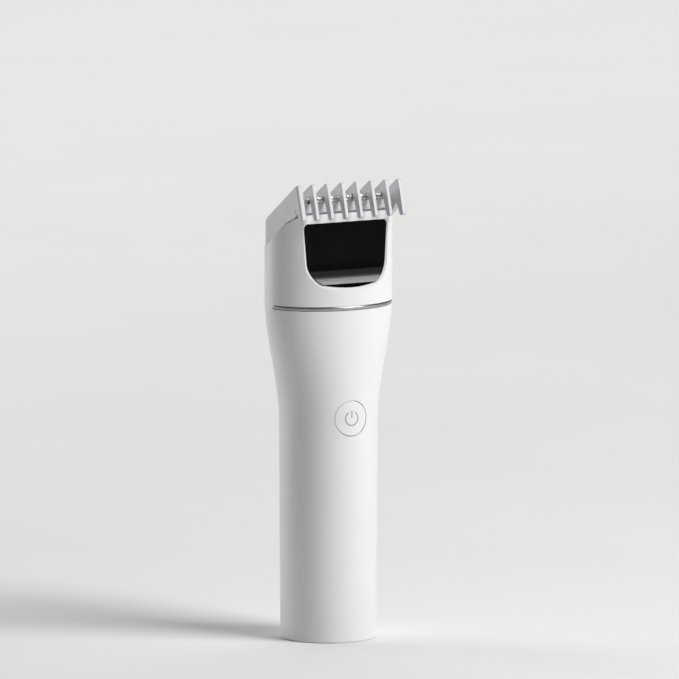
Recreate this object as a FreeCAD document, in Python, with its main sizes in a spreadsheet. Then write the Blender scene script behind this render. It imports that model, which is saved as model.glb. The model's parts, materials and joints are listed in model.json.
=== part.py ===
"""Cordless hair clipper with a clip-on guide comb, as an assembly of separate pieces.

Frame: +Z up along the handle, -Y towards the front (button and window side), +X to the
right seen from the front. The origin is the centre of the flat base. Millimetres.
"""
import FreeCAD, Part
import os
from types import SimpleNamespace

import Sketcher
from FreeCAD import Placement, Rotation, Vector

doc = FreeCAD.newDocument("HairClipper")
sheet = doc.addObject("Spreadsheet::Sheet", "Dims")

# Driving dimensions. Names in words, plain numbers, millimetres and degrees.
DIMENSIONS = {
    # outer form
    "base_radius": 18.05,       # round handle at the base
    "neck_radius": 18.6,        # round handle where the flare starts
    "flare_start": 82,
    "flare_end": 129,           # height at which the flare would reach the full oval
    "head_half_width": 25.1,    # oval head, across
    "head_half_depth": 19.4,    # oval head, front to back
    "shell_wall": 1.8,
    "seam_z": 126.8,            # handle shell meets head housing
    "trim_height": 1.6,
    "trim_depth": 0.9,
    "trim_round": 0.5,
    "trim_ends_y": -2.4,        # the trim strip covers the front only, up to here
    # slanted top: a tilted frame, its origin on the comb's top plane over the axis
    "slant": 32.3,
    "top_z": 164.05,
    "rim_drop": 9.0,            # head rim below the comb's top plane, square to it
    "shoulder_round": 3.0,      # soft shoulder from the head's sides to its rim
    "front_flat_y": -13.9,
    "shelf_thick": 1.2,
    "shelf_inner_x": 15.2,      # the shelves leave the middle open for the blade set
    # comb
    "tooth_thick": 1.1,
    "tooth_pitch": 6.2,
    "tooth_count": 8,
    "rib_depth": 3.2,
    "comb_wall": 2.0,
    "comb_half_width": 22.5,    # flat sides of the comb, inside the head's widest place
    "comb_corner": 8,           # upright corners behind the flat sides
    "comb_gap": 0.35,
    # front window
    "window_half_width": 17.4,
    "window_top": 158.85,
    "window_low": 134.5,
    "window_side_low": 136.9,
    "window_half_low": 16.2,
    "ridge_y": -17.4,
    "ridge_z": 136.0,
    "window_low_radius": 9.2,
    "window_top_radius": 1.7,
    "window_bevel": 1.0,
    "ridge_overhang": 1.8,
    "cove_radius": 9.8,         # the panel curves out to the ridge on this radius
    "trim_recess": 0.12,
    "foot_round": 0.7,
    "port_y": 6,
    "pipe_x": 8,
    "motor_screw_x": 8.2,
    "deck_z": 139.6,
    "blade_drop": 3.35,         # steel blade's face below the comb's top plane
    "blade_half_width": 17.3,
    "comb_round": 0.8,
    # button
    "button_z": 85,
    "button_radius": 6.6,
    "button_gap": 0.2,
    "flange_width": 0.9,
    # drive
    "motor_radius": 12.2,
    "motor_base": 98.5,
    "motor_length": 30.8,
    "shaft_radius": 1,
    "throw": 1,                 # eccentricity of the drive pin
    "pin_radius": 1.2,
    # inside the handle
    "chassis_radius": 15.8,
    "chassis_wall": 1.4,
    "chassis_low": 7,
    "chassis_high": 96,
    "cell_radius": 9.15,
    "cell_length": 65,
    "cell_low": 12,
    "cell_y": 2.6,
    "board_y": -9,
    "board_thick": 1.2,
    "screw_radius": 1,
    "screw_play": 0.05,         # round every screw's hole
    "screw_head_radius": 1.8,
    "screw_head_height": 1.2,
    "boss_radius": 2.2,
    "boss_length": 7.4,
    "boss_face_y": -6.5,        # where the chassis screws' heads sit
    # charging port
    "socket_width": 8.94,
    "socket_height": 3.26,
    "socket_wall": 0.3,
    "socket_low": 0.6,
    "socket_length": 4.8,
    "light_pipe_radius": 1,
    # switch behind the button
    "switch_half": 3,
    "switch_deep": 2.2,
    "switch_bore_radius": 1.8,
    "plunger_radius": 1.6,
    "stem_radius": 1.5,
    # inside the motor
    "can_wall": 0.9,
    "nose_radius": 3,           # bearing nose of the can
    "bore_radius": 2.2,         # the can's bores, which hold the bushings
    "terminal_x": 6,
    "terminal_half": 0.9,
    "magnet_length": 24,
    "magnet_inset": 2.9,
    "core_inset": 3.3,
    "core_length": 18,
    "core_slot_in": 3.4,
    "core_slot_out": 9.5,
    "commutator_radius": 2.6,
    "cam_radius": 4.2,
    "cam_low": 2.6,             # the cam's foot above the motor
    "cam_high": 7,
    "bracket_thick": 2,
    "deck_thick": 1.4,
    "deck_hole_radius": 5.2,
    # blades and their carrier
    "blade_thick": 1,
    "moving_half_width": 15.2,
    "moving_thick": 0.9,
    "blade_screw_x": 12.4,
    "blade_screw_y": 4.5,
    "plug_half_width": 14.5,
    "plug_wall": 1.5,
    "well_half_width": 9,
    "pocket_half_width": 16.5,
    "spring_half_width": 7.6,
    "spring_wire_radius": 0.4,
}
for row, (name, number) in enumerate(DIMENSIONS.items(), 1):
    sheet.set(f"A{row}", name)
    sheet.set(f"B{row}", str(number))
    sheet.setAlias(f"B{row}", name)
doc.recompute()


def value(expression):
    """The number that an expression over the sheet gives."""
    return float(sheet.evalExpression(str(expression)))


# D.name is the text that an expression uses for the cell of that name
D = SimpleNamespace(**{name: f"Dims.{name}" for name in DIMENSIONS})


# ---------------------------------------------------------------- building blocks

def bind(thing, **properties):
    """Bind properties of a document object to expressions."""
    for name, expression in properties.items():
        thing.setExpression(name.replace("__", "."), str(expression))
    return thing


def box(name, x, y, z):
    """A box between two expressions on each axis."""
    thing = doc.addObject("Part::Box", name)
    for size, base, (low, high) in zip(("Length", "Width", "Height"), "xyz", (x, y, z)):
        thing.setExpression(size, f"({high}) - ({low})")
        thing.setExpression(f"Placement.Base.{base}", str(low))
    return thing


TURNS = {
    "z": Rotation(),
    "y": Rotation(Vector(1, 0, 0), -90),
    "-y": Rotation(Vector(1, 0, 0), 90),
    "x": Rotation(Vector(0, 1, 0), 90),
}


def cylinder(name, radius, length, at=("0", "0", "0"), along="z"):
    """A cylinder from a point along z, y, -y or x."""
    thing = doc.addObject("Part::Cylinder", name)
    thing.Placement = Placement(Vector(), TURNS[along])
    bind(thing, Radius=radius, Height=length)
    for axis, expression in zip("xyz", at):
        thing.setExpression(f"Placement.Base.{axis}", str(expression))
    return thing


def cut(name, base, *tools):
    """Take each tool away from the base in turn; the last result carries the name."""
    for number, tool in enumerate(tools, 1):
        thing = doc.addObject("Part::Cut", name if tool is tools[-1] else f"{name}_cut{number}")
        thing.Base = base
        thing.Tool = tool
        base = thing
    return thing


def fuse(name, *shapes):
    thing = doc.addObject("Part::MultiFuse", name)
    thing.Shapes = list(shapes)
    return thing


def common(name, *shapes):
    thing = doc.addObject("Part::MultiCommon", name)
    thing.Shapes = list(shapes)
    return thing


def group(name, *shapes):
    """Separate solids of one kind in one node."""
    thing = doc.addObject("Part::Compound", name)
    thing.Links = list(shapes)
    return thing


def origin_plane(body, role):
    return next(f for f in body.Origin.OriginFeatures if f.Role == role)


def sketch_on(body, name, role, offset="0"):
    sketch = body.newObject("Sketcher::SketchObject", name)
    sketch.AttachmentSupport = (origin_plane(body, role), [""])
    sketch.MapMode = "FlatFace"
    sketch.setExpression("AttachmentOffset.Base.z", str(offset))
    return sketch


def outline(sketch, points, bows=None):
    """A closed outline through points given as pairs of expressions.

    bows maps the index of a side to how far that side bows out, to the right of its run.
    """
    bows = bows or {}
    places = [Vector(value(across), value(up), 0) for across, up in points]
    count = len(places)
    for side in range(count):
        start, end = places[side], places[(side + 1) % count]
        if side in bows:
            run = end - start
            outward = Vector(run.y, -run.x, 0).normalize()
            middle = (start + end) * 0.5 + outward * value(bows[side])
            sketch.addGeometry(Part.Arc(start, middle, end))
        else:
            sketch.addGeometry(Part.LineSegment(start, end))
    for side in range(count):
        sketch.addConstraint(Sketcher.Constraint("Coincident", side, 2, (side + 1) % count, 1))
    for side, pair in enumerate(points):
        hold_point(sketch, side, 1, pair)
    for side, bow in bows.items():
        (ax, ay), (bx, by) = points[side], points[(side + 1) % count]
        chord = f"sqrt((({bx}) - ({ax}))^2 + (({by}) - ({ay}))^2)"
        radius = f"({chord}^2 / 4 + ({bow})^2) / (2 * ({bow}))"
        index = sketch.addConstraint(Sketcher.Constraint("Radius", side, value(radius)))
        sketch.setExpression(f"Constraints[{index}]", radius)
    return sketch


def hold_point(sketch, line, end, pair):
    """Hold one end of a sketch's line, or a circle's centre, at a pair of expressions."""
    for kind, expression in zip(("DistanceX", "DistanceY"), pair):
        index = sketch.addConstraint(Sketcher.Constraint(
            kind, -1, 1, line, end, value(expression)))
        sketch.setExpression(f"Constraints[{index}]", str(expression))


def prism(name, role, start, length, points, bows=None, tilted=False):
    """A Body: an outline padded from `start` along its plane's normal."""
    body = doc.addObject("PartDesign::Body", name)
    sketch = outline(sketch_on(body, f"{name}_outline", role, start), points, bows)
    pad = body.newObject("PartDesign::Pad", f"{name}_pad")
    pad.Profile = sketch
    bind(pad, Length=length)
    if tilted:
        tilt(body)
    return body


def tilt(body):
    """Put a body in the slanted frame of the top: y runs back and down, z off the slant."""
    body.Placement = Placement(Vector(), Rotation(Vector(1, 0, 0), -1))
    bind(body, Placement__Base__z=D.top_z, Placement__Rotation__Angle=f"-{D.slant}")
    return body


def slab(name, x, y, z, tilted=True):
    """A block between expressions on each axis, in the slanted frame."""
    points = [(y[0], z[0]), (y[1], z[0]), (y[1], z[1]), (y[0], z[1])]
    return prism(name, "YZ_Plane", x[0], f"({x[1]}) - ({x[0]})", points, tilted=tilted)


def round_edges(body, radius, chosen):
    """Round the edges of a body whose middle point passes a test."""
    doc.recompute()
    names = []
    for number, edge in enumerate(body.Tip.Shape.Edges, 1):
        middle = edge.valueAt((edge.FirstParameter + edge.LastParameter) / 2)
        if chosen(edge, middle):
            names.append(f"Edge{number}")
    if not names:
        raise ValueError(f"{body.Label}: no edge to round")
    before = body.Tip
    fillet = body.newObject("PartDesign::Fillet", f"{body.Name}_round{len(body.Group)}")
    fillet.Base = (before, names)
    bind(fillet, Radius=radius)
    return body


def near(a, b, slack=0.05):
    return abs(a - b) < slack


def fillet_edges(name, base, radius, chosen):
    """Round the edges of a boolean's result whose middle point passes a test."""
    doc.recompute()
    size = value(radius)
    edges = []
    for number, edge in enumerate(base.Shape.Edges, 1):
        middle = edge.valueAt((edge.FirstParameter + edge.LastParameter) / 2)
        if chosen(edge, middle):
            edges.append((number, size, size))
    if not edges:
        raise ValueError(f"{name}: no edge to round")
    thing = doc.addObject("Part::Fillet", name)
    thing.Base = base
    thing.Edges = edges
    return thing


def pipe(name, role, offset, radius, points, tilted=False):
    """A Body: a round wire of the given radius along an open run of points."""
    body = doc.addObject("PartDesign::Body", name)
    path = sketch_on(body, f"{name}_path", role, offset)
    places = [Vector(value(a), value(b), 0) for a, b in points]
    for side in range(len(places) - 1):
        path.addGeometry(Part.LineSegment(places[side], places[side + 1]))
        if side:
            path.addConstraint(Sketcher.Constraint("Coincident", side - 1, 2, side, 1))
    for number, pair in enumerate(points):
        side, end = (number, 1) if number < len(points) - 1 else (number - 1, 2)
        hold_point(path, side, end, pair)
    doc.recompute()
    section = body.newObject("Sketcher::SketchObject", f"{name}_section")
    section.AttachmentSupport = [(path, "Edge1"), (path, "Vertex1")]
    section.MapMode = "NormalToEdge"
    circle = section.addGeometry(Part.Circle(Vector(), Vector(0, 0, 1), value(radius)))
    index = section.addConstraint(Sketcher.Constraint("Radius", circle, value(radius)))
    section.setExpression(f"Constraints[{index}]", str(radius))
    section.addConstraint(Sketcher.Constraint("Coincident", circle, 3, -1, 1))
    sweep = body.newObject("PartDesign::AdditivePipe", f"{name}_sweep")
    sweep.Profile = section
    sweep.Spine = path
    sweep.Transition = "Round corner"
    if tilted:
        tilt(body)
    return body


def revolve(name, points, at=("0", "0", "0")):
    """A Body: a half outline (radius, height) turned about the vertical axis."""
    body = doc.addObject("PartDesign::Body", name)
    sketch = outline(sketch_on(body, f"{name}_outline", "XZ_Plane"), points)
    turn = body.newObject("PartDesign::Revolution", f"{name}_turn")
    turn.Profile = sketch
    turn.ReferenceAxis = (sketch, ["V_Axis"])
    turn.Angle = 360
    for axis, expression in zip("xyz", at):
        body.setExpression(f"Placement.Base.{axis}", str(expression))
    return body


def ellipse(name, half_width, half_depth, height):
    thing = doc.addObject("Part::Ellipse", name)
    return bind(thing, MajorRadius=half_width, MinorRadius=half_depth,
                Placement__Base__z=height)


def oval(name, inset, low, high):
    """An upright column of the head's oval section, moved in by `inset`."""
    edge = ellipse(f"{name}_edge", f"{D.head_half_width} - ({inset})",
                   f"{D.head_half_depth} - ({inset})", low)
    thing = doc.addObject("Part::Extrusion", name)
    thing.Base = edge
    thing.DirMode = "Custom"
    thing.Dir = Vector(0, 0, 1)
    thing.Solid = True
    return bind(thing, LengthFwd=f"({high}) - ({low})")


FLARE_STEPS = 6


def handle_form(name, inset):
    """The handle's form moved in by `inset`: a slim cone, then easing into the oval."""
    lower = doc.addObject("Part::Cone", f"{name}_cone")
    bind(lower, Radius1=f"{D.base_radius} - ({inset})", Radius2=f"{D.neck_radius} - ({inset})",
         Height=D.flare_start)
    sections = []
    for number in range(FLARE_STEPS + 1):
        height = (f"{D.flare_start} + ({D.seam_z} - {D.flare_start}) * {number} "
                  f"/ {FLARE_STEPS}")
        along = f"(({height}) - {D.flare_start}) / ({D.flare_end} - {D.flare_start})"
        ease = f"(3 * ({along})^2 - 2 * ({along})^3)"
        radii = [f"{D.neck_radius} + ({full} - {D.neck_radius}) * {ease} - ({inset})"
                 for full in (D.head_half_width, D.head_half_depth)]
        sections.append(ellipse(f"{name}_flare{number}", *radii, height))
    loft = doc.addObject("Part::Loft", f"{name}_loft")
    loft.Sections = sections
    loft.Solid = True
    return fuse(name, lower, loft)


# ---------------------------------------------------------------- shells

def trim_strip(name, inset, clearance):
    """The band that the trim strip fills, on the front half of the head's outline."""
    half = f"{D.trim_height} / 2 + ({clearance})"
    low, high = f"{D.seam_z} - ({half})", f"{D.seam_z} + ({half})"
    ring = cut(f"{name}_ring", oval(f"{name}_outer", inset, low, high),
               oval(f"{name}_inner", f"{D.trim_depth} + ({clearance})", low, high))
    back = box(f"{name}_back", ("-40", "40"), (f"{D.trim_ends_y} + ({clearance})", "40"),
               ("100", "150"))
    return cut(name, ring, back)


def window_prism(name, inset):
    """The window's outline, moved in by `inset`, as a column along the front."""
    half_top = f"{D.window_half_width} - ({inset})"
    half_low = f"{D.window_half_low} - ({inset})"
    top = f"{D.window_top} - ({inset})"
    low = f"{D.window_side_low} + ({inset})"
    points = [(f"-({half_low})", low), (half_low, low), (half_top, top),
              (f"-({half_top})", top)]
    bows = {0: f"{D.window_side_low} - {D.window_low}"}
    body = prism(name, "XZ_Plane", "0", "40", points, bows)
    for height, radius in ((low, f"{D.window_low_radius} - ({inset})"),
                           (top, f"{D.window_top_radius} - ({inset}) / 2")):
        level = value(height)
        round_edges(body, radius, lambda edge, middle: near(middle.y, -20, 1)
                    and near(middle.z, level, 0.3) and abs(middle.x) > 5)
    return body


def on_oval(point):
    """True for a point on the head's outer surface."""
    across = point.x / DIMENSIONS["head_half_width"]
    deep = point.y / DIMENSIONS["head_half_depth"]
    return near(across ** 2 + deep ** 2, 1, 0.001)


def handle_shell():
    """The long white shell: round at the base, flaring into the oval under the head."""
    outer = handle_form("handle_outer", "0")
    outer = fillet_edges("handle_foot", outer, D.foot_round,
                         lambda edge, middle: near(middle.z, 0))
    inner = handle_form("handle_inner", D.shell_wall)
    hole = cylinder("button_hole", f"{D.button_radius} + {D.button_gap}", "14",
                    ("0", "-12", D.button_z), "-y")
    return cut("handle_shell", outer, inner, hole,
               trim_strip("handle_trim_groove", "-2", "0.05"))


def head_housing():
    """Oval housing of the head, open at the slanted top, with the window cut through."""
    outer = oval("head_outer", "0", D.seam_z, "190")
    inner = oval("head_inner", D.shell_wall, D.seam_z, "190")
    holed = cut("head_holed", outer, inner, window_prism("window_hole", "0"))
    bevelled = doc.addObject("Part::Chamfer", "head_bevelled")
    bevelled.Base = holed
    doc.recompute()
    size = value(D.window_bevel)
    bevelled.Edges = [(number, size, size) for number, edge in enumerate(holed.Shape.Edges, 1)
                      if window_rim(edge)]
    wall_box = box("head_front_box", ("-40", "40"),
                   (D.front_flat_y, f"{D.front_flat_y} + {D.shell_wall}"),
                   (f"{D.window_side_low} - 1", "190"))
    wall_oval = oval("front_wall_limit", f"{D.shell_wall} - 0.1", D.seam_z, "190")
    front_wall = cut("head_front_wall", common("head_front_plate", wall_box, wall_oval),
                     window_prism("front_wall_hole", "0"))
    ledge_low = f"{D.motor_base} + {D.motor_length} + {D.bracket_thick}"
    ledge = cut("head_ledge", oval("ledge_outer", f"{D.shell_wall} - 0.1", ledge_low,
                                   f"{ledge_low} + 1.5"),
                oval("ledge_inner", f"{D.shell_wall} + 1.4", ledge_low, f"{ledge_low} + 1.5"))
    walls = fuse("head_walls", bevelled, front_wall, ledge, side_shelves())
    brow = box("head_brow", ("-40", "40"), ("-40", D.front_flat_y),
               (f"{D.window_top} - 0.6", "190"))
    return cut("head_housing", common("head_topped", walls, head_top()), brow,
               trim_strip("head_trim_groove", "-2", "0.05"))


def side_shelves():
    """Two shelves level with the slanted rim, which close the head beside the blade set."""
    plate = common("shelf_plate", oval("shelf_limit", f"{D.shell_wall} - 0.1", D.seam_z, "190"),
                   slab("shelf_slab", ("-30", "30"), ("-60", "90"),
                        (f"-{D.rim_drop} - {D.shelf_thick}", f"-{D.rim_drop}")))
    opening = box("shelf_opening", (f"-{D.shelf_inner_x}", D.shelf_inner_x), ("-40", "40"),
                  ("100", "190"))
    return cut("side_shelves", plate, opening)


def head_top():
    """A block under the slanted rim, with the soft shoulders along its two sides."""
    half = f"({D.head_half_width} + 0.02)"
    block = slab("head_top", (f"-{half}", half), ("-60", "90"), ("-90", f"-{D.rim_drop}"))
    side, top = value(half), value(f"-{D.rim_drop}")
    return round_edges(block, D.shoulder_round, lambda edge, middle: near(abs(middle.x), side)
                       and near(middle.z, top))


def window_rim(edge):
    """True for an edge of the window on the head's outer surface."""
    ends = [edge.valueAt(edge.FirstParameter), edge.valueAt(edge.LastParameter)]
    middle = edge.valueAt((edge.FirstParameter + edge.LastParameter) / 2)
    low, high = DIMENSIONS["window_low"] - 1, DIMENSIONS["window_top"] + 0.1
    return (middle.y < -10 and on_oval(middle) and all(on_oval(end) for end in ends)
            and all(low < point.z < high for point in ends + [middle]))


def chrome_strip():
    """Polished strip with a rounded face, in the seam between handle and head."""
    band = trim_strip("trim_band", D.trim_recess, "0")
    face_x = value(f"{D.head_half_width} - {D.trim_recess}")
    face_y = value(f"{D.head_half_depth} - {D.trim_recess}")
    return fillet_edges("chrome_strip", band, D.trim_round, lambda edge, middle:
                        edge.Length > 40 and near((middle.x / face_x) ** 2
                                                  + (middle.y / face_y) ** 2, 1, 0.001))


def window_insert():
    """Black panel in the window: flat, then a cove out to a sharp ridge near the bottom."""
    back = f"{D.front_flat_y} + {D.shell_wall}"
    under_ridge = f"{D.ridge_y} + {D.ridge_overhang}"
    reach = f"({D.cove_radius} + {D.ridge_y} - {D.front_flat_y})"
    cove_top = f"{D.ridge_z} + sqrt({D.cove_radius}^2 - {reach}^2)"
    points = [(D.front_flat_y, "170"), (back, "170"), (back, "130"), (under_ridge, "130"),
              (under_ridge, f"{D.ridge_z} - 0.3"), (D.ridge_y, D.ridge_z),
              (D.front_flat_y, cove_top)]
    profile = prism("insert_profile", "YZ_Plane", "-30", "60", points)
    cove = cylinder("insert_cove", D.cove_radius, "60",
                    ("-30", f"{D.front_flat_y} - {D.cove_radius}", cove_top), "x")
    return common("window_insert", cut("insert_coved", profile, cove),
                  window_prism("insert_outline", "0.08"),
                  oval("insert_limit", "0.05", "120", "180"))


def base_cap():
    """Plug in the foot of the handle, with the charging port and the light pipe's hole."""
    radius = f"{D.base_radius} - {D.shell_wall} - 0.08"
    disc = cylinder("base_disc", radius, "2.2")
    collar = cut("base_collar", cylinder("base_collar_outer", f"{radius} - 0.4", "6"),
                 cylinder("base_collar_inner", f"{radius} - 1.8", "6"))
    port = stadium("base_port", f"({D.socket_width} + 0.46)", f"({D.socket_height} + 0.24)",
                   "-1", "5")
    pipe_hole = cylinder("base_pipe_hole", f"{D.light_pipe_radius} + 0.05", "5",
                         (D.pipe_x, D.port_y, "-1"))
    return cut("base_cap", fuse("base_blank", disc, collar), port, pipe_hole)


def stadium(name, width, height, low, length):
    """An upright column with a slot-shaped section, at the charging port."""
    half = f"({width} - {height}) / 2"
    middle = box(f"{name}_middle", (f"-{half}", half),
                 (f"{D.port_y} - {height} / 2", f"{D.port_y} + {height} / 2"),
                 (low, f"{low} + {length}"))
    ends = [cylinder(f"{name}_end{side}", f"{height} / 2", length,
                     (f"{side} * {half}", D.port_y, low)) for side in (-1, 1)]
    return fuse(name, middle, *ends)


# ---------------------------------------------------------------- charging and control

def charging_port():
    """Socket shell, its tongue, the board it stands on, the LED and its light pipe."""
    inner_width = f"({D.socket_width} - 2 * {D.socket_wall})"
    inner_height = f"({D.socket_height} - 2 * {D.socket_wall})"
    cut("charge_socket", stadium("socket_outer", D.socket_width, D.socket_height,
                                 D.socket_low, D.socket_length),
        stadium("socket_inner", inner_width, inner_height, f"{D.socket_low} - 0.1",
                f"{D.socket_length} - 0.5"))
    box("charge_tongue", ("-3.3", "3.3"), (f"{D.port_y} - 0.35", f"{D.port_y} + 0.35"),
        ("1.4", "4.8"))
    box("socket_board", ("-8.5", "10"), (f"{D.port_y} - 4", f"{D.port_y} + 4"),
        ("5.4", "6.4"))
    box("charge_led", (f"{D.pipe_x} - 0.8", f"{D.pipe_x} + 0.8"),
        (f"{D.port_y} - 0.8", f"{D.port_y} + 0.8"), ("4.8", "5.4"))
    cylinder("light_pipe", D.light_pipe_radius, "4.6", (D.pipe_x, D.port_y, "0"))


def power_button():
    """Round button that follows the handle's surface, with a flange and a stem."""
    column = cylinder("button_column", D.button_radius, "10", ("0", "-16", D.button_z), "-y")
    cap = common("button_cap", column, handle_form("button_surface", "0.05"))
    rounded = fillet_edges("button_soft_cap", cap, "0.3",
                           lambda edge, middle: middle.y < -17)
    flange = common("button_flange",
                    cylinder("button_flange_column", f"{D.button_radius} + {D.flange_width}",
                             "6", ("0", "-14", D.button_z), "-y"),
                    handle_form("button_flange_limit", f"{D.shell_wall} + 0.15"))
    stem = cylinder("button_stem", D.stem_radius, "2.5", ("0", "-13", D.button_z), "-y")
    return fuse("power_button", rounded, flange, stem)


CHIP_THICK = 0.9
CHIPS = ((2.5, 30, 5), (1.6, 44, 4), (4, 62, 6))    # half width, foot, height of each


def control_board():
    """Main board behind the button, its switch and its chips."""
    front = f"{D.board_y} - {D.board_thick}"
    box("main_board", ("-9.6", "9.6"), (front, D.board_y), ("9.6", "94"))
    bore = cylinder("switch_bore", D.switch_bore_radius, "1.6",
                    ("0", f"{front} - 1.2", D.button_z), "-y")
    block = box("switch_block", (f"-{D.switch_half}", D.switch_half),
                (f"{front} - {D.switch_deep}", front),
                (f"{D.button_z} - {D.switch_half}", f"{D.button_z} + {D.switch_half}"))
    cut("switch_body", block, bore)
    cylinder("switch_plunger", D.plunger_radius, "1", ("0", "-12", D.button_z), "-y")
    chips = [box(f"chip{number}", (f"-{half}", str(half)), (f"{front} - {CHIP_THICK}", front),
                 (str(low), str(low + tall)))
             for number, (half, low, tall) in enumerate(CHIPS)]
    group("board_chips", *chips)


# ---------------------------------------------------------------- chassis and cell

SCREW_HEIGHTS = (16, 88)
SCREW_X = 12


def chassis_half(name, front):
    """Half of the inner carrier: a half tube with end discs and screw bosses."""
    outer = cylinder(f"{name}_outer", D.chassis_radius, f"{D.chassis_high} - {D.chassis_low}",
                     ("0", "0", D.chassis_low))
    inside = f"{D.chassis_low} + {D.chassis_wall}"
    inner = cylinder(f"{name}_inner", f"{D.chassis_radius} - {D.chassis_wall}",
                     f"{D.chassis_high} - {D.chassis_wall} - ({inside})", ("0", "0", inside))
    side = ("-20", "-0.02") if front else ("0.02", "20")
    half = box(f"{name}_half", ("-20", "20"), side, ("0", "120"))
    tube = common(f"{name}_tube", cut(f"{name}_hollow", outer, inner), half)
    bosses, holes = [], []
    for number, (x, height) in enumerate((x, height) for x in (-SCREW_X, SCREW_X)
                                         for height in SCREW_HEIGHTS):
        at = (str(x), "-0.02" if front else "0.02", str(height))
        along = "-y" if front else "y"
        bosses.append(cylinder(f"{name}_boss{number}", D.boss_radius, D.boss_length,
                               at, along))
        holes.append(cylinder(f"{name}_hole{number}", f"{D.screw_radius} + {D.screw_play}", "6",
                              (str(x), "3" if front else "0", str(height)), along))
        if front:
            holes.append(cylinder(f"{name}_drill{number}",
                                  f"{D.screw_radius} + {D.screw_play}", "12",
                                  (str(x), "0", str(height)), along))
            holes.append(cylinder(f"{name}_sink{number}", f"{D.screw_head_radius} + 0.2", "12",
                                  (str(x), D.boss_face_y, str(height)), along))
    if front:
        holes.append(cylinder(f"{name}_button_hole", f"{D.button_radius} + 1.5", "12",
                              ("0", "-11", D.button_z), "-y"))
    leads = box(f"{name}_lead_gap", ("-8", "8"), ("-7", "-1"), (f"{D.chassis_high} - 3", "99"))
    return cut(name, fuse(f"{name}_blank", tube, *bosses), *holes, leads)


def screw(name, x, y, z, length, along):
    """A small pan-head screw, its head's underside at the given point."""
    head_at = {"y": (x, f"({y}) - {D.screw_head_height}", z), "z": (x, y, z)}[along]
    head = cylinder(f"{name}_head", D.screw_head_radius, D.screw_head_height, head_at, along)
    shank_at = {"y": (x, y, z), "z": (x, y, f"({z}) - ({length})")}[along]
    shank = cylinder(f"{name}_shank", D.screw_radius, length, shank_at, along)
    return fuse(name, head, shank)


def chassis():
    """Both halves of the inner carrier and the four screws that close it."""
    chassis_half("chassis_front", True)
    chassis_half("chassis_rear", False)
    screws = [screw(f"chassis_screw{number}", str(x), D.boss_face_y, str(height), "12", "y")
              for number, (x, height) in enumerate((x, height) for x in (-SCREW_X, SCREW_X)
                                                   for height in SCREW_HEIGHTS)]
    group("chassis_screws", *screws)


def battery():
    """Lithium cell with its two welded tabs and leads."""
    top = f"{D.cell_low} + {D.cell_length}"
    cylinder("battery_cell", D.cell_radius, D.cell_length, ("0", D.cell_y, D.cell_low))
    group("battery_tabs",
          cylinder("tab_low", "4", "0.4", ("0", D.cell_y, f"{D.cell_low} - 0.4")),
          cylinder("tab_high", "4", "0.4", ("0", D.cell_y, top)))
    group("battery_leads",
          pipe("lead_low", "YZ_Plane", "0", "0.6",
               [(D.cell_y, f"{D.cell_low} - 1.1"), (f"{D.board_y} + 0.02", f"{D.cell_low} - 1.1")]),
          pipe("lead_high", "YZ_Plane", "0", "0.6",
               [(D.cell_y, f"{top} + 1.1"), (f"{D.board_y} + 0.02", f"{top} + 1.1")]))


# ---------------------------------------------------------------- motor and drive

TERMINAL_Y = ("-4.3", "-3.7")
LEAD_Y, LEAD_Z = "-4.85", "90"


def motor():
    """Brushed motor: can, end cap, magnets, bushings, terminals, leads."""
    low, high = D.motor_base, f"({D.motor_base} + {D.motor_length})"
    radius = D.motor_radius
    can = revolve("can_turned", [
        (f"{radius} - {D.can_wall}", low), (radius, low), (radius, high),
        (D.nose_radius, high), (D.nose_radius, f"{high} + 1.2"),
        (D.bore_radius, f"{high} + 1.2"), (D.bore_radius, f"{high} - 1"),
        (f"{radius} - {D.can_wall}", f"{high} - 1")])
    can_holes = [cylinder(f"can_hole{side}", D.screw_radius, "4",
                          (f"{side} * {D.motor_screw_x}", "0", f"{high} - 2"))
                 for side in (-1, 1)]
    cut("motor_can", can, *can_holes)
    inside = f"{radius} - {D.can_wall} - 0.02"
    cap = cylinder("end_cap_disc", inside, "1.8", ("0", "0", low))
    cap_bore = cylinder("end_cap_bore", D.bore_radius, "3", ("0", "0", f"{low} - 0.5"))
    slots = [box(f"end_cap_slot{side}", terminal_width(side), TERMINAL_Y,
                 (f"{low} - 1", f"{low} + 3")) for side in (-1, 1)]
    cut("motor_end_cap", cap, cap_bore, *slots)
    magnet_foot = ("0", "0", f"{low} + 3")
    ring = cut("magnet_ring", cylinder("magnet_outer", inside, D.magnet_length, magnet_foot),
               cylinder("magnet_inner", f"{radius} - {D.magnet_inset}", D.magnet_length,
                        magnet_foot),
               box("magnet_gap", ("-3", "3"), ("-20", "20"), ("90", "140")))
    ring.Label = "motor_magnets"
    group("motor_bushings",
          bushing("bushing_rear", f"{low}", "1.8"),
          bushing("bushing_front", f"{high} - 1", "2.2"))
    group("motor_terminals",
          *[box(f"terminal{side}", terminal_width(side), TERMINAL_Y,
                (f"{low} - 2.1", f"{low} + 2.2")) for side in (-1, 1)])
    group("motor_leads",
          *[pipe(f"motor_lead{side}", "YZ_Plane", f"{side} * {D.terminal_x}", "0.5",
                 [(f"{D.board_y} + 0.02", LEAD_Z), (LEAD_Y, LEAD_Z), (LEAD_Y, f"{low} - 0.6")])
            for side in (-1, 1)])


def terminal_width(side):
    """The two sides of a motor terminal, across."""
    middle = f"{side} * {D.terminal_x}"
    return f"{middle} - {D.terminal_half}", f"{middle} + {D.terminal_half}"


def bushing(name, low, length):
    return cut(name, cylinder(f"{name}_outer", f"{D.bore_radius} - 0.02", length,
                              ("0", "0", low)),
               cylinder(f"{name}_bore", f"{D.shaft_radius} + 0.04", length, ("0", "0", low)))


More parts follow.
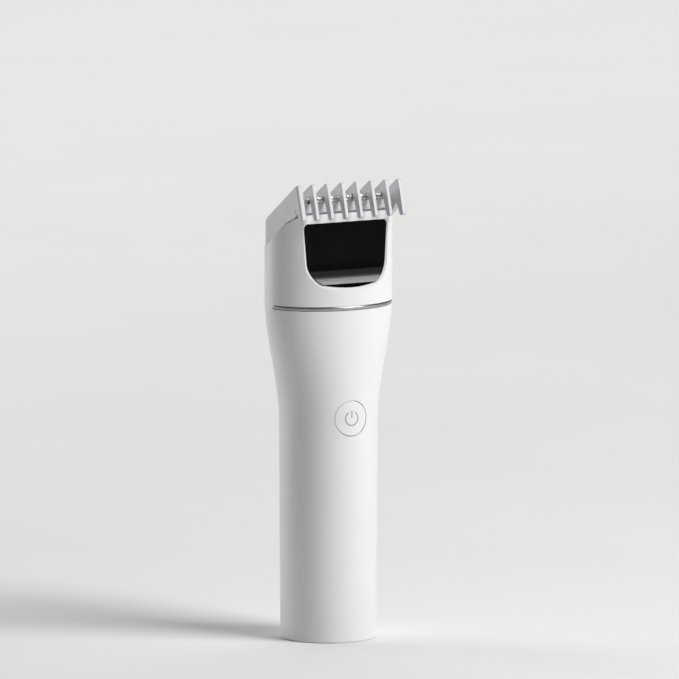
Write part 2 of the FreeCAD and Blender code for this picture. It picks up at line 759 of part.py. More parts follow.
def rotor():
    """Everything that spins: shaft, core with its slots, commutator, eccentric, pin."""
    low, high = D.motor_base, f"({D.motor_base} + {D.motor_length})"
    cylinder("motor_shaft", D.shaft_radius, f"{high} + {D.cam_high} - ({low} - 1.5)",
             ("0", "0", f"{low} - 1.5"))
    bore = cylinder("core_bore", D.shaft_radius, "40", ("0", "0", low))
    core = cylinder("core_round", f"{D.motor_radius} - {D.core_inset}", D.core_length,
                    ("0", "0", f"{low} + 6"))
    slots = []
    for number in range(3):
        slot = box(f"core_slot{number}", (D.core_slot_in, D.core_slot_out), ("-0.9", "0.9"),
                   ("90", "140"))
        slot.Placement = Placement(Vector(), Rotation(Vector(0, 0, 1), 120 * number))
        arm = 120 * number
        bind(slot, Placement__Base__x=f"{D.core_slot_in} * cos({arm}) + 0.9 * sin({arm})",
             Placement__Base__y=f"{D.core_slot_in} * sin({arm}) - 0.9 * cos({arm})",
             Placement__Base__z="90")
        slots.append(slot)
    cut("armature_core", core, bore, *slots)
    cut("commutator", cylinder("commutator_round", D.commutator_radius, "3.4",
                               ("0", "0", f"{low} + 2.4")),
        cylinder("commutator_bore", D.shaft_radius, "40", ("0", "0", low)))
    cam = revolve("cam_turned", [
        (D.shaft_radius, f"{high} + {D.cam_low}"),
        (f"{D.cam_radius} - 0.6", f"{high} + {D.cam_low}"),
        (D.cam_radius, f"{high} + {D.cam_low} + 0.6"),
        (D.cam_radius, f"{high} + {D.cam_high}"), (D.shaft_radius, f"{high} + {D.cam_high}")])
    cam_cap = cut("cam_cap", cylinder("cam_cap_round", D.cam_radius, "1.2",
                                      ("0", "0", f"{high} + {D.cam_high}")),
                  cylinder("cam_pin_bore", D.pin_radius, "4",
                           ("0", D.throw, f"{high} + {D.cam_high} - 1")))
    fuse("eccentric_cam", cam, cam_cap)
    cylinder("drive_pin", D.pin_radius, "11", ("0", D.throw, f"{high} + {D.cam_high}"))


def motor_mount():
    """Plate that carries the motor under the ledge, its two screws, and the seam's seal."""
    high = f"({D.motor_base} + {D.motor_length})"
    plate = oval("bracket_plate", f"{D.shell_wall} + 0.08", high, f"{high} + {D.bracket_thick}")
    boss = cylinder("bracket_boss_hole", f"{D.nose_radius} + 0.05", "6", ("0", "0", f"{high} - 2"))
    holes = [cylinder(f"bracket_hole{side}", f"{D.screw_radius} + {D.screw_play}", "6",
                      (f"{side} * {D.motor_screw_x}", "0", f"{high} - 2"))
             for side in (-1, 1)]
    cut("motor_bracket", plate, boss, *holes)
    group("motor_screws",
          *[screw(f"motor_screw{side}", f"{side} * {D.motor_screw_x}", "0",
                  f"{high} + {D.bracket_thick}", "3.4", "z") for side in (-1, 1)])
    cut("seam_seal",
        handle_and_head_liner("seal_outer", f"{D.shell_wall} + 0.06"),
        handle_and_head_liner("seal_inner", f"{D.shell_wall} + 1.4"))


def handle_and_head_liner(name, inset):
    """A column inside the seam between handle and head."""
    return common(name, oval(f"{name}_column", inset, f"{D.seam_z} - 2", f"{D.seam_z} + 1.6"),
                  fuse(f"{name}_limit", handle_form(f"{name}_form", inset),
                       oval(f"{name}_above", inset, D.seam_z, f"{D.seam_z} + 3")))


def drive_deck():
    """Deck that keeps hair out of the drive, with a rubber ring round the pin."""
    low, high = D.deck_z, f"{D.deck_z} + {D.deck_thick}"
    plate = oval("deck_oval", f"{D.shell_wall} + 0.05", low, high)
    front = box("deck_front", ("-40", "40"),
                ("-40", f"{D.front_flat_y} + {D.shell_wall} + 0.1"), ("100", "190"))
    hole = cylinder("deck_hole", D.deck_hole_radius, "4", ("0", "0", f"{low} - 1"))
    cut("drive_deck", plate, front, hole)
    cut("drive_seal", cylinder("seal_ring", D.deck_hole_radius, D.deck_thick,
                               ("0", "0", low)),
        cylinder("seal_ring_bore", f"{D.pin_radius} + {D.throw} + 0.3", "3",
                 ("0", "0", f"{low} - 1")))


# ---------------------------------------------------------------- blade set

def toothed_plate(name, half_width, y, z, pitch, slot, depth, bevel):
    """A blade in the slanted frame: a plate with a row of slots along its front edge."""
    body = slab(name, (f"-({half_width})", half_width), y, z)
    front, top = value(y[0]), value(z[1])
    doc.recompute()
    before = body.Tip
    edges = [f"Edge{number}" for number, edge in enumerate(before.Shape.Edges, 1)
             if all(near(v.Point.y, front) and near(v.Point.z, top) for v in edge.Vertexes)]
    chamfer = body.newObject("PartDesign::Chamfer", f"{name}_bevel")
    chamfer.Base = (before, edges)
    bind(chamfer, Size=bevel)
    doc.recompute()
    solid = chamfer.Shape.Volume
    sketch = sketch_on(body, f"{name}_slot_outline", "XY_Plane", z[1])
    left = f"-({half_width}) + {pitch} / 2"
    outline(sketch, [(f"{left} - {slot} / 2", f"{y[0]} - 1"), (f"{left} + {slot} / 2",
            f"{y[0]} - 1"), (f"{left} + {slot} / 4", f"{y[0]} + {depth}"),
            (f"{left} - {slot} / 4", f"{y[0]} + {depth}")])
    pocket = body.newObject("PartDesign::Pocket", f"{name}_slot")
    pocket.Profile = sketch
    pocket.Type = "ThroughAll"
    doc.recompute()
    if pocket.Shape.Volume > solid - 0.1:
        raise ValueError(f"{name}: the first slot cuts nothing")
    row = body.newObject("PartDesign::LinearPattern", f"{name}_teeth")
    row.Originals = [pocket]
    row.Direction = (sketch, ["H_Axis"])
    count = int((2 * value(half_width)) // value(pitch))
    bind(row, Length=f"{pitch} * {count - 1}")
    row.Occurrences = count
    body.Tip = row
    return body


def blade_carrier():
    """Plastic frame of the blade set: sits on the head's rim, with a plug inside it."""
    low, high = f"-{D.rim_drop} + 0.1", f"-{D.blade_drop} - {D.blade_thick} - 0.05"
    front = box("carrier_front", (f"-{D.blade_half_width}", D.blade_half_width),
                (f"{D.front_flat_y} - 0.2", "0"), ("120", "190"))
    rear = common("carrier_rear", oval("carrier_oval", f"{D.comb_wall} + 0.3", "120", "190"),
                  box("carrier_rear_box", (f"-{D.blade_half_width}", D.blade_half_width),
                      ("-1", "30"), ("120", "190")))
    block = common("carrier_block", fuse("carrier_plan", front, rear),
                   slab("carrier_slab", ("-30", "30"), ("-40", "40"), (low, high)))
    plug_sides = (f"-{D.plug_half_width}", D.plug_half_width)
    plug = common("carrier_plug", box("plug_box", plug_sides, ("-11.4", "12.5"),
                                      ("120", "190")),
                  slab("plug_slab", ("-30", "30"), ("-40", "40"),
                       (f"{low} - 2.4", f"{low} + 1")))
    well = slab("carrier_well", (f"-{D.well_half_width}", D.well_half_width),
                ("-9.2", "10.4"), ("-30", "0"))
    hollow = f"({D.plug_half_width} - {D.plug_wall})"
    plug_well = box("carrier_plug_well", (f"-{hollow}", hollow), ("-9.8", "11"),
                    ("120", "190"))
    plug_well = common("carrier_plug_hollow", plug_well,
                       slab("plug_hollow_slab", ("-30", "30"), ("-40", "40"),
                            ("-30", f"{low} + 1")))
    pocket = slab("carrier_pocket", (f"-{D.pocket_half_width}", D.pocket_half_width),
                  ("-30", "-1.8"),
                  (f"-{D.blade_drop} - 2.1", "0"))
    groove = slab("carrier_groove", ("-30", "30"), ("-40", "-9.6"), ("-30", f"{low} + 0.65"))
    holes = [slab(f"carrier_screw_hole{side}",
                  (f"{side} * {D.blade_screw_x} - {D.screw_radius}",
                   f"{side} * {D.blade_screw_x} + {D.screw_radius}"),
                  (f"{D.blade_screw_y} - {D.screw_radius}",
                   f"{D.blade_screw_y} + {D.screw_radius}"), ("-8", "0"))
             for side in (-1, 1)]
    return cut("blade_carrier", fuse("carrier_solid", block, plug), well, plug_well, pocket,
               groove, *holes)


def tilted_cylinder(name, radius, x, y, low, high):
    """A round column square to the slant."""
    body = doc.addObject("PartDesign::Body", name)
    sketch = sketch_on(body, f"{name}_circle", "XY_Plane", low)
    circle = sketch.addGeometry(Part.Circle(Vector(value(x), value(y), 0), Vector(0, 0, 1),
                                            value(radius)))
    index = sketch.addConstraint(Sketcher.Constraint("Radius", circle, value(radius)))
    sketch.setExpression(f"Constraints[{index}]", str(radius))
    hold_point(sketch, circle, 3, (x, y))
    pad = body.newObject("PartDesign::Pad", f"{name}_pad")
    pad.Profile = sketch
    bind(pad, Length=f"({high}) - ({low})")
    return tilt(body)


def blade_set():
    """Carrier, the two blades, their screws, the follower and the pressure spring."""
    blade_carrier()
    top = f"-{D.blade_drop}"
    plate = toothed_plate("fixed_plate", D.blade_half_width, ("-14.7", "8.6"),
                          (f"{top} - {D.blade_thick}", top), "1.8", "0.8", "4.6", "0.5")
    screw_at = {side: (f"{side} * {D.blade_screw_x}", D.blade_screw_y) for side in (-1, 1)}
    holes = [tilted_cylinder(f"fixed_hole{side}", f"{D.screw_radius} + {D.screw_play}",
                             *screw_at[side], "-9", "0") for side in (-1, 1)]
    cut("fixed_blade", plate, *holes)
    screws = [fuse(f"blade_screw{side}",
                   tilted_cylinder(f"blade_screw_head{side}", D.screw_head_radius,
                                   *screw_at[side], top, f"{top} + 0.9"),
                   tilted_cylinder(f"blade_screw_shank{side}", D.screw_radius,
                                   *screw_at[side], f"{top} - 4", top))
              for side in (-1, 1)]
    group("blade_screws", *screws)
    moving_top = f"{top} - {D.blade_thick} - 0.05"
    moving = toothed_plate("moving_plate", D.moving_half_width, ("-14.2", "-2.4"),
                           (f"{moving_top} - {D.moving_thick}", moving_top), "1.52", "0.7",
                           "3.4", "0.3")
    moving.Label = "moving_blade"
    head = slab("follower_head", ("-6", "6"), ("-8.4", "2.4"),
                (f"{top} - 4.4", f"{moving_top} - {D.moving_thick} - 0.02"))
    column = box("follower_column", ("-4.6", "4.6"), ("-4.4", "3.6"),
                 (f"{D.deck_z} + {D.deck_thick} + 1", "170"))
    under = slab("follower_limit", ("-30", "30"), ("-60", "60"),
                 ("-60", f"{top} - 3"))
    slot_half = f"({D.pin_radius} + {D.throw} + 0.15)"
    slot = box("follower_slot", (f"-{slot_half}", slot_half), ("-20", "20"),
               ("120", f"{D.motor_base} + {D.motor_length} + 19"))
    cut("cutter_follower", fuse("follower_blank", head, common("follower_leg", column, under)),
        slot)
    arm = D.spring_half_width
    pipe("pressure_spring", "XY_Plane", f"{top} - 3.4", D.spring_wire_radius,
         [(f"-{arm}", "2.9"), (f"-{arm}", "9.3"), (arm, "9.3"), (arm, "2.9")], tilted=True)


# ---------------------------------------------------------------- guide comb

TOOTH_TIP = ("-19.9", "0")
TOOTH_FOOT = ("-16.1", "-13.9")
TOOTH_HEEL = ("-13.8", "-12.8")


def toothed_profile(name, start, width, back):
    """The comb seen from the side: tip, foot and heel of a tooth, then the given back."""
    body = prism(name, "YZ_Plane", start, width, [TOOTH_TIP, TOOTH_FOOT, TOOTH_HEEL] + back)
    for (y, z), radius in ((TOOTH_TIP, "1.1"), (TOOTH_FOOT, "0.8"), (TOOTH_HEEL, "0.7")):
        round_edges(body, radius, lambda edge, middle: near(middle.y, float(y))
                    and near(middle.z, float(z)) and near(edge.Length, value(width)))
    return tilt(body)


def comb_plan(name, inset):
    """An upright column: flat sides from the front, and the head's oval at the back."""
    half = f"({D.comb_half_width} - ({inset}))"
    across = (f"-{half}", half)
    back = common(f"{name}_back", oval(f"{name}_oval", inset, "120", "190"),
                  box(f"{name}_back_box", across, ("-2", "40"), ("120", "190")))
    plan = fuse(name, back, box(f"{name}_front_box", across, ("-40", "0"), ("120", "190")))
    plan.Refine = True
    return plan


def guide_comb():
    """Clip-on comb: a cap with flat sides and an oval back, and eight teeth."""
    rear_corner = value(f"{D.head_half_depth} * sqrt(1 - ({D.comb_half_width}"
                        f" / {D.head_half_width})^2)")
    column = fillet_edges("comb_column", comb_plan("comb_outer", "0"), D.comb_corner,
                          lambda edge, middle: near(middle.y, rear_corner)
                          and abs(middle.x) > 10)
    low = f"-{D.rim_drop} + {D.comb_gap}"
    profile = toothed_profile("comb_side", "-40", "80", [("-13.75", "-7.45"), ("-9", low),
                                                         ("60", low), ("60", "0")])
    soft = fillet_edges("comb_soft_top", common("comb_blank", column, profile), D.comb_round,
                        on_comb_top)
    walls = cut("comb_walls", soft, comb_plan("comb_inner", D.comb_wall))
    deck = common("comb_deck", comb_plan("comb_deck_plan", f"{D.comb_wall} - 0.05"),
                  slab("comb_deck_slab", ("-40", "40"), ("7", "60"), ("-1.4", "0")))
    half_span = (DIMENSIONS["tooth_count"] - 1) / 2
    teeth = [toothed_profile(f"comb_tooth{number}",
                             f"{number - half_span} * {D.tooth_pitch} - {D.tooth_thick} / 2",
                             D.tooth_thick,
                             [("-15", f"-{D.rib_depth}"), ("10", f"-{D.rib_depth}"),
                              ("10", "0")])
             for number in range(1, DIMENSIONS["tooth_count"] - 1)]
    return fuse("guide_comb", walls, deck, *teeth)


def on_comb_top(edge, middle):
    """True for the outer edge of the comb's slanted top, along its sides and back."""
    level = value(f"{D.top_z} - {middle.y} * tan({D.slant})")
    beside = near(abs(middle.x), DIMENSIONS["comb_half_width"])
    return near(middle.z, level) and (beside or middle.y > 3)


# ---------------------------------------------------------------- the assembly

NODES = (
    "handle_shell", "head_housing", "chrome_strip", "window_insert", "base_cap",
    "charge_socket", "charge_tongue", "socket_board", "charge_led", "light_pipe",
    "power_button", "main_board", "switch_body", "switch_plunger", "board_chips",
    "chassis_front", "chassis_rear", "chassis_screws", "battery_cell", "battery_tabs",
    "battery_leads", "motor_can", "motor_end_cap", "motor_magnets", "motor_bushings",
    "motor_terminals", "motor_leads", "motor_shaft", "armature_core", "commutator",
    "eccentric_cam", "drive_pin", "motor_bracket", "motor_screws", "seam_seal",
    "drive_deck", "drive_seal", "blade_carrier", "fixed_blade", "blade_screws",
    "moving_blade", "cutter_follower", "pressure_spring", "guide_comb",
)


def build():
    """Make every sub-part in the document."""
    for make in (handle_shell, head_housing, chrome_strip, window_insert, base_cap,
                 charging_port, power_button, control_board, chassis, battery, motor,
                 rotor, motor_mount, drive_deck, blade_set, guide_comb):
        make()
    doc.recompute()


def check_and_export():
    """Stop on any failed object or broken shape, then write one STEP file a node."""
    failed = [thing.Name for thing in doc.Objects if {"Invalid", "Error"} & set(thing.State)]
    if failed:
        raise RuntimeError(f"failed objects: {failed}")
    for node in NODES:
        shape = doc.getObjectsByLabel(node)[0].Shape
        if shape.isNull() or not shape.isValid() or not shape.Solids:
            raise RuntimeError(f"{node}: broken shape")
    os.makedirs("parts", exist_ok=True)
    for node in NODES:
        shape = doc.getObjectsByLabel(node)[0].Shape
        shape.exportStep(f"parts/{node}.step")
        print(f"{node}: {len(shape.Solids)} solid(s), {shape.Volume:.1f} mm3")


build()
check_and_export()
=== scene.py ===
"""Studio scene of a white cordless hair clipper with its guide comb, around the CAD frame."""
import json
import math

import bmesh
import bpy
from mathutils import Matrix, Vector


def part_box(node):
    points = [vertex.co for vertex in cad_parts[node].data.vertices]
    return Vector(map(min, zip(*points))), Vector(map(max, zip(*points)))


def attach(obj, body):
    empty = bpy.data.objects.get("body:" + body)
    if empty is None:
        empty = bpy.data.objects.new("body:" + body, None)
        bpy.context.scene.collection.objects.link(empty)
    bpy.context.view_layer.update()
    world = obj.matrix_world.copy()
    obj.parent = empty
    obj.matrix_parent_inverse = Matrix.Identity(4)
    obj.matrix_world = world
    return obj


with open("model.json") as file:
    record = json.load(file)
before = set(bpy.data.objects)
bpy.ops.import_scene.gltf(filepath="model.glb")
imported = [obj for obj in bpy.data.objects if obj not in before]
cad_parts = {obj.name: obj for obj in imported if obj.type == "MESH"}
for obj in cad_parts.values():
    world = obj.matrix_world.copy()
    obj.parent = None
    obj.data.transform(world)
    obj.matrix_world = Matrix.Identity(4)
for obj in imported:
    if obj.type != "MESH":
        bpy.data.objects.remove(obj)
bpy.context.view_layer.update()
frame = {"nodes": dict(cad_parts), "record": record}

MM = 0.001
NODES = frame["nodes"]


# ---------------------------------------------------------------- node helpers

class Shader:
    """A material's node tree, with short calls for the nodes that the finishes share."""

    def __init__(self, name):
        self.material = bpy.data.materials.new(name)
        self.material.use_nodes = True
        self.tree = self.material.node_tree
        self.surface = self.tree.nodes["Principled BSDF"]
        self.place = self.tree.nodes.new("ShaderNodeTexCoord").outputs["Object"]

    def node(self, kind, **settings):
        node = self.tree.nodes.new(kind)
        for name, setting in settings.items():
            setattr(node, name, setting)
        return node

    def link(self, output, target):
        self.tree.links.new(output, target)

    def drive(self, socket, output):
        """Feed one of the surface's sockets from a node's output."""
        self.link(output, self.surface.inputs[socket])

    def set(self, **values):
        """Constant values straight on the surface's sockets."""
        for name, number in values.items():
            self.surface.inputs[name.replace("_", " ")].default_value = number

    def spread(self, stretch=(1, 1, 1)):
        """The object's coordinates in metres, stretched."""
        mapping = self.node("ShaderNodeMapping")
        mapping.inputs["Scale"].default_value = stretch
        self.link(self.place, mapping.inputs["Vector"])
        return mapping.outputs["Vector"]

    def noise(self, scale, detail=3.0, stretch=(1, 1, 1), roughness=0.55):
        """Soft noise over the object, with `scale` features in a metre."""
        noise = self.node("ShaderNodeTexNoise")
        noise.inputs["Scale"].default_value = scale
        noise.inputs["Detail"].default_value = detail
        noise.inputs["Roughness"].default_value = roughness
        self.link(self.spread(stretch), noise.inputs["Vector"])
        return noise.outputs["Fac"]

    def along(self, axis):
        """One coordinate of the place, in metres."""
        split = self.node("ShaderNodeSeparateXYZ")
        self.link(self.place, split.inputs["Vector"])
        return split.outputs[axis]

    def ramp(self, factor, low, high, start=0.3, end=0.7, smooth=False):
        """Map a factor's stretch from start to end onto low to high."""
        steps = self.node("ShaderNodeMapRange")
        if smooth:
            steps.interpolation_type = "SMOOTHSTEP"
        for name, number in (("From Min", start), ("From Max", end), ("To Min", low),
                             ("To Max", high)):
            steps.inputs[name].default_value = number
        self.link(factor, steps.inputs["Value"])
        return steps.outputs["Result"]

    def mix(self, factor, first, second):
        """Blend two colours or sockets by a factor."""
        mix = self.node("ShaderNodeMix", data_type="RGBA")
        for socket, colour in ((mix.inputs[6], first), (mix.inputs[7], second)):
            if isinstance(colour, bpy.types.NodeSocket):
                self.link(colour, socket)
            else:
                socket.default_value = (*colour, 1)
        self.link(factor, mix.inputs[0])
        return mix.outputs[2]

    def math(self, operation, first, second):
        """One step of arithmetic between sockets or numbers."""
        step = self.node("ShaderNodeMath", operation=operation)
        for socket, term in zip(step.inputs, (first, second)):
            if isinstance(term, bpy.types.NodeSocket):
                self.link(term, socket)
            else:
                socket.default_value = term
        return step.outputs[0]

    def bump(self, height, distance, strength=1.0, below=None):
        """Relief of `distance` metres, over an earlier one if given."""
        bump = self.node("ShaderNodeBump")
        bump.inputs["Distance"].default_value = distance
        bump.inputs["Strength"].default_value = strength
        self.link(height, bump.inputs["Height"])
        if below:
            self.link(below, bump.inputs["Normal"])
        return bump.outputs["Normal"]


# ---------------------------------------------------------------- finishes

def moulded_plastic(name, light, dark, roughness, grain=2400, relief=6e-6, lift=0.04):
    """Satin moulded plastic: spark-eroded grain, faint flow clouds and handling marks."""
    shader = Shader(name)
    clouds = shader.ramp(shader.noise(35, 4), 0, 1)
    shader.drive("Base Color", shader.mix(clouds, light, dark))
    handled = shader.ramp(shader.noise(85, 5, (1, 1, 0.5)), roughness - lift, roughness + lift)
    shader.drive("Roughness", handled)
    grain_relief = shader.bump(shader.noise(grain, 2), relief, 0.5)
    shader.drive("Normal", shader.bump(shader.noise(60, 2), 2e-5, 0.25, grain_relief))
    shader.set(IOR=1.49)
    return shader.material


RIDGE_ABOVE_FOOT = 1.42 * MM
RIDGE_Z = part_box("window_insert")[0][2] + RIDGE_ABOVE_FOOT
FLAT_Y = -13.9 * MM
# Height above the ridge over which the panel turns to mirror with a painted grey reflection in
# its colour.
MIRROR_AND_PAINTED_SHEEN_REACH = 4.6 * MM


def gloss_panel():
    """Smoked gloss panel: deep black, turning to a smoky mirror towards its lower ridge, where
    the grey is partly real reflection of the lamps and partly painted reflection in the colour.
    """
    shader = Shader("black_gloss")
    rise = shader.ramp(shader.along("Z"), 1, 0, RIDGE_Z, RIDGE_Z + MIRROR_AND_PAINTED_SHEEN_REACH, smooth=True)
    fade = shader.math("POWER", rise, 3.6)
    lens = shader.ramp(shader.along("Z"), 0, 1, RIDGE_Z - 0.35 * MM, RIDGE_Z - 0.15 * MM)
    outside = shader.ramp(shader.along("Y"), 1, 0, FLAT_Y - 0.3 * MM, FLAT_Y - 0.05 * MM)
    mirror_and_painted_sheen = shader.math("MULTIPLY", shader.math("MULTIPLY", fade, lens), outside)
    black = shader.mix(shader.ramp(shader.noise(120, 4), 0, 1), (0.0035, 0.0035, 0.0036),
                       (0.0048, 0.0047, 0.0046))
    # Painted reflection: the base colour greys from black to 0.36 towards the ridge, while the
    # metallic beside it reflects the lamps for real.
    shader.drive("Base Color", shader.mix(mirror_and_painted_sheen, black, (0.36, 0.36, 0.36)))
    shader.drive("Metallic", mirror_and_painted_sheen)
    wiped = shader.ramp(shader.noise(160, 5, (1, 1, 0.4)), 0.05, 0.10)
    shader.drive("Roughness", shader.math("ADD", wiped, shader.math("MULTIPLY", mirror_and_painted_sheen, 0.46)))
    shader.drive("Normal", shader.bump(shader.noise(220, 2), 3e-6, 0.3))
    shader.set(IOR=1.36, Specular_IOR_Level=0.03)
    return shader.material


def bright_metal(name, colour, dark, roughness, brushed=None, relief=2e-6):
    """Polished or brushed metal, with faint smears; brushed gives the stretch of the marks."""
    shader = Shader(name)
    tint = shader.ramp(shader.noise(180, 4), 0, 1)
    shader.drive("Base Color", shader.mix(tint, colour, dark))
    stretch = brushed or (1, 1, 1)
    marks = shader.noise(900, 4, stretch, 0.6)
    shader.drive("Roughness", shader.ramp(marks, roughness * 0.75, roughness * 1.3))
    shader.drive("Normal", shader.bump(marks, relief, 0.6))
    shader.set(Metallic=1.0)
    return shader.material


def rough_part(name, light, dark, roughness, scale=500, metallic=0.0, relief=1e-5):
    """A plain working part: mottled colour, uneven gloss and a fine surface."""
    shader = Shader(name)
    mottle = shader.ramp(shader.noise(scale, 4), 0, 1)
    shader.drive("Base Color", shader.mix(mottle, light, dark))
    shader.drive("Roughness", shader.ramp(shader.noise(scale * 0.4, 5), roughness - 0.08,
                                          roughness + 0.1))
    shader.drive("Normal", shader.bump(shader.noise(scale * 4, 3), relief, 0.5))
    shader.set(Metallic=metallic)
    return shader.material


def circuit_board():
    """Green lacquered board with fine copper runs under the lacquer."""
    shader = Shader("circuit_board")
    runs = shader.node("ShaderNodeTexBrick", offset=0.5)
    runs.inputs["Scale"].default_value = 420
    runs.inputs["Mortar Size"].default_value = 0.06
    turned = shader.spread((1, 1, 1))
    shader.link(turned, runs.inputs["Vector"])
    lacquer = shader.mix(shader.ramp(shader.noise(300, 3), 0, 1), (0.01, 0.10, 0.045),
                         (0.008, 0.075, 0.035))
    shader.drive("Base Color", shader.mix(runs.outputs["Fac"], lacquer, (0.03, 0.20, 0.09)))
    shader.drive("Roughness", shader.ramp(shader.noise(700, 3), 0.28, 0.42))
    shader.drive("Normal", shader.bump(runs.outputs["Fac"], 2e-5, 0.6))
    return shader.material


def clear_resin(name, colour, roughness):
    """Clear or milky resin, with a faint cloud in it."""
    shader = Shader(name)
    cloud = shader.ramp(shader.noise(900, 3), 0, 1)
    deep = tuple(channel * 0.92 for channel in colour)
    shader.drive("Base Color", shader.mix(cloud, colour, deep))
    shader.drive("Roughness", shader.ramp(shader.noise(1500, 2), roughness, roughness + 0.08))
    shader.drive("Normal", shader.bump(shader.noise(1200, 2), 4e-6, 0.4))
    shader.set(Transmission_Weight=0.6, IOR=1.49)
    return shader.material


def copper_windings():
    """Enamelled copper wire wound round the armature's arms."""
    shader = Shader("copper_core")
    turns = shader.node("ShaderNodeTexWave", bands_direction="Z")
    turns.inputs["Scale"].default_value = 900
    turns.inputs["Distortion"].default_value = 1.5
    shader.link(shader.spread(), turns.inputs["Vector"])
    shader.drive("Base Color", shader.mix(turns.outputs["Fac"], (0.36, 0.11, 0.035),
                                          (0.72, 0.29, 0.12)))
    shader.drive("Roughness", shader.ramp(shader.noise(600, 3), 0.26, 0.4))
    shader.drive("Normal", shader.bump(turns.outputs["Fac"], 4e-5, 0.7))
    shader.set(Metallic=0.85)
    return shader.material


def pad_print(name, colour):
    """Thin printed ink, a little uneven at the edges of its coverage."""
    shader = Shader(name)
    cover = shader.ramp(shader.noise(2600, 4), 0, 1)
    paler = tuple(min(1, channel * 1.15) for channel in colour)
    shader.drive("Base Color", shader.mix(cover, colour, paler))
    shader.drive("Roughness", shader.ramp(shader.noise(1500, 3), 0.42, 0.55))
    shader.drive("Normal", shader.bump(shader.noise(4000, 2), 3e-6, 0.4))
    return shader.material


SHELL_WHITE = (0.80, 0.80, 0.808)
SHELL_WHITE_LOW = (0.775, 0.775, 0.785)
FORE_AFT, SIDEWAYS, UPRIGHT = (60, 0.5, 60), (0.5, 60, 60), (60, 60, 0.5)


def build_materials():
    """One finish for each material slot of the record, by the slot's name."""
    finishes = {
        "white_shell": moulded_plastic("white_shell", SHELL_WHITE, SHELL_WHITE_LOW, 0.38),
        "comb_white": moulded_plastic("comb_white", (0.62, 0.62, 0.635), (0.59, 0.59, 0.61),
                                      0.42, 3000, 8e-6),
        "carrier_grey": moulded_plastic("carrier_grey", (0.60, 0.60, 0.61), (0.56, 0.56, 0.575),
                                        0.45, 2600, 8e-6),
        "button_white": moulded_plastic("button_white", SHELL_WHITE, SHELL_WHITE_LOW, 0.33,
                                        3200, 4e-6),
        "chrome_trim": bright_metal("chrome_trim", (0.44, 0.44, 0.45), (0.38, 0.38, 0.39),
                                    0.22, SIDEWAYS),
        "black_gloss": gloss_panel(),
        "black_plastic": moulded_plastic("black_plastic", (0.018, 0.018, 0.019),
                                         (0.013, 0.013, 0.014), 0.44),
        "inner_plastic": moulded_plastic("inner_plastic", (0.42, 0.42, 0.41),
                                         (0.36, 0.36, 0.355), 0.5, 1800, 1e-5),
        "port_metal": bright_metal("port_metal", (0.62, 0.62, 0.61), (0.5, 0.5, 0.49), 0.28,
                                   UPRIGHT),
        "blade_steel": bright_metal("blade_steel", (0.78, 0.78, 0.79), (0.68, 0.68, 0.69), 0.34,
                                    FORE_AFT, 4e-6),
        "blade_ceramic": rough_part("blade_ceramic", (0.74, 0.73, 0.70), (0.68, 0.67, 0.64),
                                    0.3, 700),
        "screw_steel": bright_metal("screw_steel", (0.55, 0.55, 0.55), (0.42, 0.42, 0.42), 0.3),
        "motor_steel": bright_metal("motor_steel", (0.58, 0.58, 0.57), (0.44, 0.44, 0.43), 0.34,
                                    UPRIGHT, 5e-6),
        "magnet": rough_part("magnet", (0.045, 0.045, 0.048), (0.03, 0.03, 0.032), 0.6, 900),
        "bronze": rough_part("bronze", (0.42, 0.26, 0.11), (0.32, 0.19, 0.08), 0.42, 1200, 0.9),
        "nickel": bright_metal("nickel", (0.66, 0.64, 0.58), (0.52, 0.5, 0.45), 0.27, UPRIGHT),
        "copper_core": copper_windings(),
        "circuit_board": circuit_board(),
        "cell_sleeve": moulded_plastic("cell_sleeve", (0.02, 0.10, 0.22), (0.016, 0.08, 0.18),
                                       0.3, 900, 6e-6),
        "lead_red": moulded_plastic("lead_red", (0.5, 0.02, 0.015), (0.4, 0.016, 0.012), 0.4),
        "seal_rubber": rough_part("seal_rubber", (0.05, 0.05, 0.052), (0.035, 0.035, 0.037),
                                  0.75, 1600, 0.0, 2e-5),
        "led": clear_resin("led", (0.85, 0.86, 0.8), 0.2),
        "clear_pipe": clear_resin("clear_pipe", (0.88, 0.89, 0.9), 0.12),
    }
    return finishes



def finish_cad():
    """Give every CAD node the finish of its material slot in the record."""
    finishes = build_materials()
    for subpart in frame["record"]["subparts"]:
        mesh = NODES[subpart["node"]].data
        mesh.materials.clear()
        mesh.materials.append(finishes[subpart["material_slot"]])


# ---------------------------------------------------------------- printed power symbol

SYMBOL_RADIUS = 2.62 * MM
SYMBOL_STROKE = 0.56 * MM
SYMBOL_GAP = math.radians(32)
SYMBOL_RISE = 0.02 * MM
SYMBOL_GREY = (0.36, 0.36, 0.365)
SYMBOL_BAR = [0.35 * MM, 0.9 * MM, 1.6 * MM, 2.3 * MM, 3.0 * MM]
RING_STEPS = 72
BUTTON_Z = 85.0 * MM


def ring_points():
    """Strips of (x, z) pairs across the stroke: the broken ring, then the upright bar."""
    half = SYMBOL_STROKE / 2
    ring = []
    for step in range(RING_STEPS + 1):
        angle = math.pi / 2 + SYMBOL_GAP + 2 * (math.pi - SYMBOL_GAP) * step / RING_STEPS
        ring.append([((SYMBOL_RADIUS + side * half) * math.cos(angle),
                      (SYMBOL_RADIUS + side * half) * math.sin(angle)) for side in (-1, 0, 1)])
    bar = [[(side * half, height) for side in (-1, 0, 1)] for height in SYMBOL_BAR]
    return ring, bar


